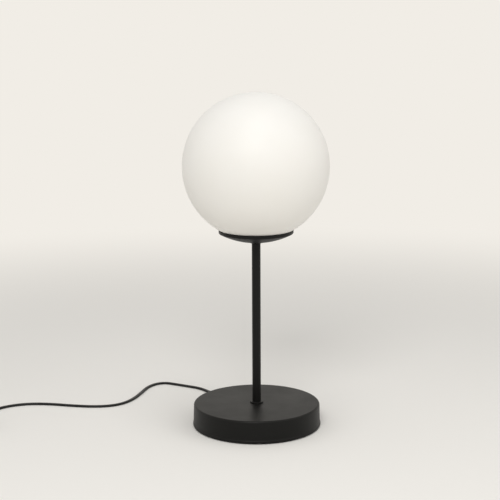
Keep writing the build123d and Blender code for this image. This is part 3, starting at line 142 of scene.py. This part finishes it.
def layFloor():
    half = studio["floorSize"]
    mesh = bpy.data.meshes.new("studioFloor")
    corners = [(-half, -half, 0), (half, -half, 0), (half, half, 0), (-half, half, 0)]
    mesh.from_pydata(corners, [], [(0, 1, 2, 3)])
    floor = bpy.data.objects.new("studioFloor", mesh)
    scene.collection.objects.link(floor)
    material = bpy.data.materials.new("palePaperFloor")
    material.use_nodes = True
    tree = material.node_tree
    tree.nodes.clear()
    place = addNode(tree, "ShaderNodeTexCoord")
    distance = addNode(tree, "ShaderNodeVectorMath", {"operation": "LENGTH"}, [(place, "Object", 0)])
    fade = addNode(tree, "ShaderNodeMapRange",
                   {"interpolation_type": "SMOOTHSTEP", "From Min": studio["clearRadius"],
                    "From Max": studio["fadeRadius"]}, [(distance, "Value", "Value")])
    paper = addNode(tree, "ShaderNodeBsdfPrincipled",
                    {"Base Color": linearColour(studio["floorColour"]),
                     "Roughness": studio["floorRoughness"],
                     "Specular IOR Level": studio["floorSpecular"]})
    glow = addNode(tree, "ShaderNodeEmission",
                   {"Color": linearColour(studio["backdropColour"]), "Strength": 1.0})
    mixed = addNode(tree, "ShaderNodeMixShader", {}, [(fade, "Result", 0), (paper, 0, 1), (glow, 0, 2)])
    addNode(tree, "ShaderNodeOutputMaterial", {}, [(mixed, 0, "Surface")])
    mesh.materials.append(material)


placeCamera()
lightRoom()
layFloor()
print("camera, light and floor placed")

# Finishes

finishes = {
    # Fine-textured polyester powder coat, sprayed and baked on steel. A deep matt black that only
    # lights up along rolled edges and at a flat angle. Its real grit is 0.3 mm, too fine to show, so
    # it is drawn at 1.1 mm.
    "powderCoatedSteel": {
        "colour": "#0D0D0B", "cloudColour": "#111110", "cloudMm": 40, "roughness": 0.44,
        "roughnessSpread": 0.03, "specular": 0.18, "ior": 1.5, "grainMm": 1.1, "grainDepthMm": 0.05,
    },
    # Blown opal glass with an etched satin outside. A milky white that light sinks into a little, with
    # one broad soft glow in place of a sharp highlight. The faint drift in tone is from blowing.
    "satinOpalGlass": {
        "colour": "#F2F0EB", "cloudColour": "#EFECE6", "cloudMm": 70, "roughness": 0.46,
        "roughnessSpread": 0.04, "specular": 0.35, "ior": 1.5, "subsurface": 0.35, "depthMm": 3.0,
        "grainMm": 9.0, "grainDepthMm": 0.015,
    },
    # Soft PVC drawn over two cores. A smooth satin black with a slight waviness from the extruder.
    "extrudedPvc": {
        "colour": "#0D0D0D", "cloudColour": "#121211", "cloudMm": 25, "roughness": 0.42,
        "roughnessSpread": 0.08, "specular": 0.22, "ior": 1.54, "grainMm": 4.0, "grainDepthMm": 0.03,
    },
    # PVC moulded on the cord. Duller than the cord, with the fine matt of an eroded mould. The real
    # texture is 0.1 mm and is drawn at 0.8 mm.
    "mouldedPvc": {
        "colour": "#161616", "cloudColour": "#1B1B1A", "cloudMm": 18, "roughness": 0.55,
        "roughnessSpread": 0.06, "specular": 0.28, "ior": 1.54, "grainMm": 0.8, "grainDepthMm": 0.03,
    },
    # ABS, injection moulded in a fine-textured mould. A half-gloss black with soft highlights on its
    # rounded edges.
    "mouldedAbs": {
        "colour": "#141415", "cloudColour": "#191919", "cloudMm": 30, "roughness": 0.34,
        "roughnessSpread": 0.05, "specular": 0.40, "ior": 1.53, "grainMm": 1.0, "grainDepthMm": 0.012,
    },
    # PBT, moulded for heat. Black with a waxy, slightly uneven gloss.
    "mouldedPbt": {
        "colour": "#18181A", "cloudColour": "#202021", "cloudMm": 12, "roughness": 0.30,
        "roughnessSpread": 0.08, "specular": 0.42, "ior": 1.57, "grainMm": 2.5, "grainDepthMm": 0.02,
    },
    # Cast iron, sand cast and dipped in grey-black primer. Rough, blotchy and dull.
    "castIron": {
        "colour": "#3A3A3B", "cloudColour": "#2C2B2A", "cloudMm": 9, "roughness": 0.72,
        "roughnessSpread": 0.14, "specular": 0.35, "ior": 1.5, "metallic": 0.3, "grainMm": 1.6,
        "grainDepthMm": 0.22,
    },
    # Steel with bright zinc plating. A cool grey shine with faint blue-yellow clouds from passivation.
    "zincPlatedSteel": {
        "colour": "#C3C5C8", "cloudColour": "#CDC7B8", "cloudMm": 6, "roughness": 0.30,
        "roughnessSpread": 0.12, "metallic": 1.0, "grainMm": 0.5, "grainDepthMm": 0.006,
    },
    # Hardened spring strip, rolled and polished. A bright neutral grey with a slightly cloudy shine.
    "springSteel": {
        "colour": "#B9BABB", "cloudColour": "#A9A8A4", "cloudMm": 8, "roughness": 0.24,
        "roughnessSpread": 0.10, "metallic": 1.0, "grainMm": 0.4, "grainDepthMm": 0.006,
    },
    # Needle-punched polyester felt. Soft matt black with a rough, mottled face that catches light at
    # a flat angle. Its fibres are under 0.1 mm and are drawn as 1.2 mm tufts.
    "needleFelt": {
        "colour": "#1B1B1C", "cloudColour": "#262627", "cloudMm": 2.2, "roughness": 0.95,
        "roughnessSpread": 0.03, "specular": 0.1, "ior": 1.5, "sheen": 0.5, "grainMm": 1.2,
        "grainDepthMm": 0.35,
    },
    # Silicone rubber, moulded. Milky and faintly see-through, with a tacky satin shine.
    "mouldedSilicone": {
        "colour": "#DAD9D4", "cloudColour": "#D2D1CB", "cloudMm": 10, "roughness": 0.40,
        "roughnessSpread": 0.06, "specular": 0.35, "ior": 1.41, "subsurface": 0.5, "depthMm": 1.5,
        "grainMm": 2.0, "grainDepthMm": 0.02,
    },
    # Steatite, pressed and fired without glaze. A chalky off-white with a fine sandy tooth.
    "firedSteatite": {
        "colour": "#E7E2D6", "cloudColour": "#DCD5C6", "cloudMm": 5, "roughness": 0.68,
        "roughnessSpread": 0.08, "specular": 0.35, "ior": 1.55, "grainMm": 0.7, "grainDepthMm": 0.03,
    },
    # Brass strip, rolled and stamped. Warm yellow that has dulled a little in blotches.
    "stampedBrass": {
        "colour": "#D9B36A", "cloudColour": "#C39A52", "cloudMm": 4, "roughness": 0.28,
        "roughnessSpread": 0.14, "metallic": 1.0, "grainMm": 0.5, "grainDepthMm": 0.006,
    },
    # Brass with bright nickel plating. A slightly warm silver with a little unevenness in its shine.
    "nickelPlatedBrass": {
        "colour": "#CFCAC0", "cloudColour": "#C3BDB0", "cloudMm": 5, "roughness": 0.20,
        "roughnessSpread": 0.10, "metallic": 1.0, "grainMm": 0.6, "grainDepthMm": 0.006,
    },
    # Bulb glass with a baked white silica coat inside. Glossy outside over an even milky white.
    "coatedBulbGlass": {
        "colour": "#F4F3EF", "cloudColour": "#F0EFEA", "cloudMm": 30, "roughness": 0.12,
        "roughnessSpread": 0.04, "specular": 0.5, "ior": 1.5, "subsurface": 0.4, "depthMm": 2.0,
        "grainMm": 14.0, "grainDepthMm": 0.02,
    },
    # Black glass run in hot round the bulb's contact. Dark and glossy, with a few ripples.
    "castVitrite": {
        "colour": "#16161B", "cloudColour": "#1E1E26", "cloudMm": 5, "roughness": 0.16,
        "roughnessSpread": 0.10, "specular": 0.5, "ior": 1.6, "grainMm": 2.0, "grainDepthMm": 0.03,
    },
    # PVC core insulation in the two wiring colours. Smooth, with a low sheen.
    "brownPvc": {
        "colour": "#5A3521", "cloudColour": "#63402B", "cloudMm": 6, "roughness": 0.42,
        "roughnessSpread": 0.06, "specular": 0.45, "ior": 1.54, "grainMm": 2.0, "grainDepthMm": 0.01,
    },
    "bluePvc": {
        "colour": "#2F62A8", "cloudColour": "#2A5A9C", "cloudMm": 6, "roughness": 0.42,
        "roughnessSpread": 0.06, "specular": 0.45, "ior": 1.54, "grainMm": 2.0, "grainDepthMm": 0.01,
    },
}

finishOf = {
    "powderCoatedSteel": ["base_shell", "dish", "stem_tube", "lower_collar", "upper_collar"],
    "satinOpalGlass": ["globe"],
    "extrudedPvc": ["inner_cable"],
    "mouldedPvc": ["cord_relief", "plug_relief", "plug_body", "cord_clamp", "cord_tie"],
    "mouldedAbs": ["switch_base", "switch_cover", "switch_rocker"],
    "mouldedPbt": ["holder_cap", "holder_shell"],
    "castIron": ["base_weight"],
    "zincPlatedSteel": [
        "bottom_plate", "plate_screws", "clamp_screws", "case_screws", "terminal_screws", "lower_nut",
        "lower_lock_washer", "lower_washer", "lower_nipple", "upper_nipple", "dish_washer", "dish_nut",
    ],
    "springSteel": ["globe_spring"],
    "needleFelt": ["foot_pad"],
    "mouldedSilicone": ["seat_ring"],
    "firedSteatite": ["holder_insert"],
    "stampedBrass": [
        "holder_terminals", "centre_contact", "side_contact", "bulb_button", "switch_terminals",
        "switch_contacts",
    ],
    "nickelPlatedBrass": ["plug_pins"],
    "coatedBulbGlass": ["bulb_glass"],
    "castVitrite": ["bulb_insulator"],
    "brownPvc": ["live_core", "switch_cores"],
    "bluePvc": ["neutral_core"],
}


pattern = {
    "cloudDetail": 3.0,
    "cloudRoughness": 0.55,
    "cloudRange": (0.3, 0.7),   # the cloud noise's values where a finish is glossiest and dullest
    "grainDetail": 2.0,
    "grainRoughness": 0.5,
}


def makeFinish(name, look):
    material = bpy.data.materials.new(name)
    material.use_nodes = True
    tree = material.node_tree
    tree.nodes.clear()
    place = addNode(tree, "ShaderNodeTexCoord")
    cloud = addNode(tree, "ShaderNodeTexNoise",
                    {"Scale": 1 / (look["cloudMm"] * mm), "Detail": pattern["cloudDetail"],
                     "Roughness": pattern["cloudRoughness"]}, [(place, "Object", "Vector")])
    tint = addNode(tree, "ShaderNodeMix", {"data_type": "RGBA"}, [(cloud, "Fac", 0)])
    tint.inputs[6].default_value = linearColour(look["colour"])
    tint.inputs[7].default_value = linearColour(look["cloudColour"])
    dull = addNode(tree, "ShaderNodeMapRange",
                   {"From Min": pattern["cloudRange"][0], "From Max": pattern["cloudRange"][1],
                    "To Min": look["roughness"] - look["roughnessSpread"],
                    "To Max": look["roughness"] + look["roughnessSpread"]}, [(cloud, "Fac", "Value")])
    grain = addNode(tree, "ShaderNodeTexNoise",
                    {"Scale": 1 / (look["grainMm"] * mm), "Detail": pattern["grainDetail"],
                     "Roughness": pattern["grainRoughness"]}, [(place, "Object", "Vector")])
    bump = addNode(tree, "ShaderNodeBump", {"Strength": 1.0, "Distance": look["grainDepthMm"] * mm},
                   [(grain, "Fac", "Height")])
    settings = {
        "Metallic": look.get("metallic", 0.0),
        "IOR": look.get("ior", 1.5),
        "Specular IOR Level": look.get("specular", 0.5),
        "Sheen Weight": look.get("sheen", 0.0),
        "Subsurface Weight": look.get("subsurface", 0.0),
        "Subsurface Scale": look.get("depthMm", 1.0) * mm,
        "Subsurface Radius": (1.0, 1.0, 1.0),
    }
    shader = addNode(tree, "ShaderNodeBsdfPrincipled", settings,
                     [(tint, 2, "Base Color"), (dull, "Result", "Roughness"), (bump, "Normal", "Normal")])
    addNode(tree, "ShaderNodeOutputMaterial", {}, [(shader, 0, "Surface")])
    return material


finish = {name: makeFinish(name, look) for name, look in finishes.items()}
for name, pieces in finishOf.items():
    for piece in pieces:
        for slot in node[piece].material_slots:
            slot.material = finish[name]
print("finishes made:", len(finish))

# Cord: flat twin PVC cord, 5.2 x 3.2 mm. It leaves the base at the back, lies in a slow curve to the
# left with one tight bend, and is put away beyond the picture in a tied coil with switch and plug.

cord = {
    "width": 5.2 * mm,
    "thickness": 3.2 * mm,
    "leadLength": 0.545,
    "restLength": 1.305,
    "roundSteps": 9,            # points round each edge of the section
    "curveSteps": 8,            # points along each span of the route
}

# The routes' control points, in millimetres
leadRoute = [
    (-36.14, 74.1, 9.5),
    (-50.52, 103.59, 9.5),
    (-59.73, 122.46, 8.6),
    (-70.5, 144.0, 1.9),
    (-86.5, 167.0, 1.7),
    (-110.0, 180.0, 1.7),
    (-128.0, 190.0, 1.7),
    (-143.5, 197.5, 1.7),
    (-158.5, 190.5, 1.7),
    (-169.5, 171.5, 1.7),
    (-176.0, 142.0, 1.7),
    (-186.0, 108.0, 1.7),
    (-203.0, 84.0, 1.7),
    (-232.0, 75.0, 1.7),
    (-270.0, 80.0, 1.7),
    (-308.0, 90.0, 1.7),
    (-343.0, 90.0, 1.7),
    (-371.0, 76.0, 1.7),
    (-387.0, 52.0, 2.6),
    (-392.0, 27.0, 6.5),
    (-392.0, 4.5, 6.5),
]

coil = {
    "middle": (-430.5, -92.0),
    "turns": 6.5,
    "outerRadius": 38.5,        # mm, to the middle of the outermost turn
    "pitch": 5.65,
    "lowHeight": 2.4,           # of the lower layer's middle; the cord winds inwards on it
    "highHeight": 6.3,          # of the upper layer's, on which it winds out again
    "pointsPerTurn": 16,
}


def coilPoints():
    count = round(coil["turns"] * coil["pointsPerTurn"])
    swell = 1 / cos(pi / coil["pointsPerTurn"])     # the spline runs a little inside its points
    middleX, middleY = coil["middle"]
    rise = coil["highHeight"] - coil["lowHeight"]
    points = []
    for step in range(count + 1):
        turn = step / coil["pointsPerTurn"]
        radius = (coil["outerRadius"] - coil["pitch"] * min(turn, coil["turns"] - turn)) * swell
        climb = min(max(2 * turn - coil["turns"] + 0.5, 0), 1)      # half a turn, round the middle one
        height = coil["lowHeight"] + rise * climb ** 2 * (3 - 2 * climb)
        angle = -2 * pi * turn
        points.append((middleX + radius * cos(angle), middleY + radius * sin(angle), height))
    return points


restRoute = [
    (-392.0, -38.5, 6.5),
    (-392.0, -54.0, 6.5),
    (-391.6, -65.0, 4.6),
    (-392.0, -77.0, 2.4),
    *coilPoints(),
    (-469.0, -79.0, 6.3),
    (-469.0, -66.0, 6.85),
    (-469.0, -36.3, 6.85),
]


def splinePoints(name, route):
    line = bpy.data.curves.new(name, "CURVE")
    line.dimensions = "3D"
    line.resolution_u = cord["curveSteps"]
    spline = line.splines.new("NURBS")
    spline.points.add(len(route) - 1)
    for point, place in zip(spline.points, route):
        point.co = (*(c * mm for c in place), 1)
    spline.order_u = 3
    spline.use_endpoint_u = True
    holder = bpy.data.objects.new(name, line)
    scene.collection.objects.link(holder)
    mesh = bpy.data.meshes.new_from_object(holder)
    points = [v.co.copy() for v in mesh.vertices]
    bpy.data.objects.remove(holder)
    bpy.data.meshes.remove(mesh)
    return points


def flatCord(name, route):
    points = splinePoints(name + "Line", route)
    halfStraight = (cord["width"] - cord["thickness"]) / 2
    radius = cord["thickness"] / 2
    outline = []
    for side in (1, -1):
        for step in range(cord["roundSteps"] + 1):
            angle = side * (pi * step / cord["roundSteps"] - pi / 2)
            outline.append((side * (halfStraight + radius * cos(angle)), radius * sin(angle)))
    mesh = bpy.data.meshes.new(name)
    build = bmesh.new()
    rings = []
    for index, point in enumerate(points):
        ahead = points[min(index + 1, len(points) - 1)] - points[max(index - 1, 0)]
        across = Vector((0, 0, 1)).cross(ahead).normalized()
        above = ahead.cross(across).normalized()
        rings.append([build.verts.new(point + across * x + above * y) for x, y in outline])
    for ring, following in zip(rings, rings[1:]):
        for index in range(len(outline)):
            after = (index + 1) % len(outline)
            build.faces.new((ring[index], ring[after], following[after], following[index]))
    for ring in (rings[0], rings[-1]):
        build.faces.new(ring)
    bmesh.ops.recalc_face_normals(build, faces=build.faces)
    for face in build.faces:
        face.smooth = len(face.verts) == 4
    build.to_mesh(mesh)
    build.free()
    piece = bpy.data.objects.new(name, mesh)
    scene.collection.objects.link(piece)
    return piece, points


cordLead, leadPoints = flatCord("cordLead", leadRoute)
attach(cordLead, "lamp")
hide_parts("cord_lead")
cordLead.data.materials.append(finish["extrudedPvc"])
cordRest, restPoints = flatCord("cordCoiled", restRoute)
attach(cordRest, "lamp")
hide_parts("cord_mid", "cord_coil", "cord_tail")
cordRest.data.materials.append(finish["extrudedPvc"])
print("cord laid:", len(leadPoints) + len(restPoints), "points")

# Bulb cap: nickel-plated brass with its rolled screw thread

bulbCap = {
    "outerRadius": 12.98,       # mm, at the thread's crests
    "threadDepth": 1.05,
    "pitch": 3.62,
    "gauge": 0.3,
    "throatRadius": 11.3,       # where the cap meets the black glass
    "throatHeight": 1.9,
    "plainTop": 3.2,            # smooth part above the thread
    "threadStart": 0.6,         # height at which the thread begins to rise, as a share of the throat
    "plainBlend": 0.4,          # how soon the thread's valleys fill up below the smooth part
    "plainDip": 0.3,            # how far the smooth part stays below the crests, of the thread's depth
    "bottom": 295.55,
    "top": 313.53,
    "aroundSteps": 72,
    "stepHeight": 0.28,
}


def capRadius(height, around):
    look = bulbCap
    climbed = height - look["bottom"]
    wave = (1 + cos(2 * pi * (climbed / look["pitch"] - around))) / 2
    fromThroat = climbed / look["throatHeight"]
    fromPlain = (look["top"] - look["plainTop"] - height) / look["pitch"] * 2
    fade = min(max(min(fromThroat - look["threadStart"], fromPlain), 0), 1)
    radius = look["outerRadius"] - look["threadDepth"] * (1 - fade * wave)
    if fromPlain < 1 - look["plainBlend"]:
        dip = min(max(fromPlain + look["plainBlend"], look["plainDip"]), 1)
        radius = max(radius, look["outerRadius"] - look["threadDepth"] * dip)
    if fromThroat < 1:
        radius = look["throatRadius"] + (radius - look["throatRadius"]) * fromThroat
    return radius


def joinRings(build, ring, following):
    for index in range(len(ring)):
        after = (index + 1) % len(ring)
        build.faces.new((ring[index], ring[after], following[after], following[index]))


def threadedCap():
    tall = bulbCap["top"] - bulbCap["bottom"]
    steps = int(tall / bulbCap["stepHeight"])
    count = bulbCap["aroundSteps"]
    build = bmesh.new()
    walls = []
    for inset in (0, bulbCap["gauge"]):
        rings = []
        for step in range(steps + 1):
            height = bulbCap["bottom"] + tall * step / steps
            ring = []
            for turn in range(count):
                angle = 2 * pi * turn / count
                radius = capRadius(height, turn / count) - inset
                place = (radius * cos(angle) * mm, radius * sin(angle) * mm, height * mm)
                ring.append(build.verts.new(place))
            rings.append(ring)
        walls.append(rings)
    for rings in walls:
        for ring, above in zip(rings, rings[1:]):
            joinRings(build, ring, above)
    outside, inside = walls
    joinRings(build, outside[0], inside[0])
    joinRings(build, outside[-1], inside[-1])
    bmesh.ops.recalc_face_normals(build, faces=build.faces)
    for face in build.faces:
        face.smooth = True
    mesh = bpy.data.meshes.new("bulbCapThreaded")
    build.to_mesh(mesh)
    build.free()
    mesh.materials.append(finish["nickelPlatedBrass"])
    piece = bpy.data.objects.new("bulbCapThreaded", mesh)
    scene.collection.objects.link(piece)
    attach(piece, "bulb")
    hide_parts("bulb_cap")


threadedCap()
print("bulb cap threaded")
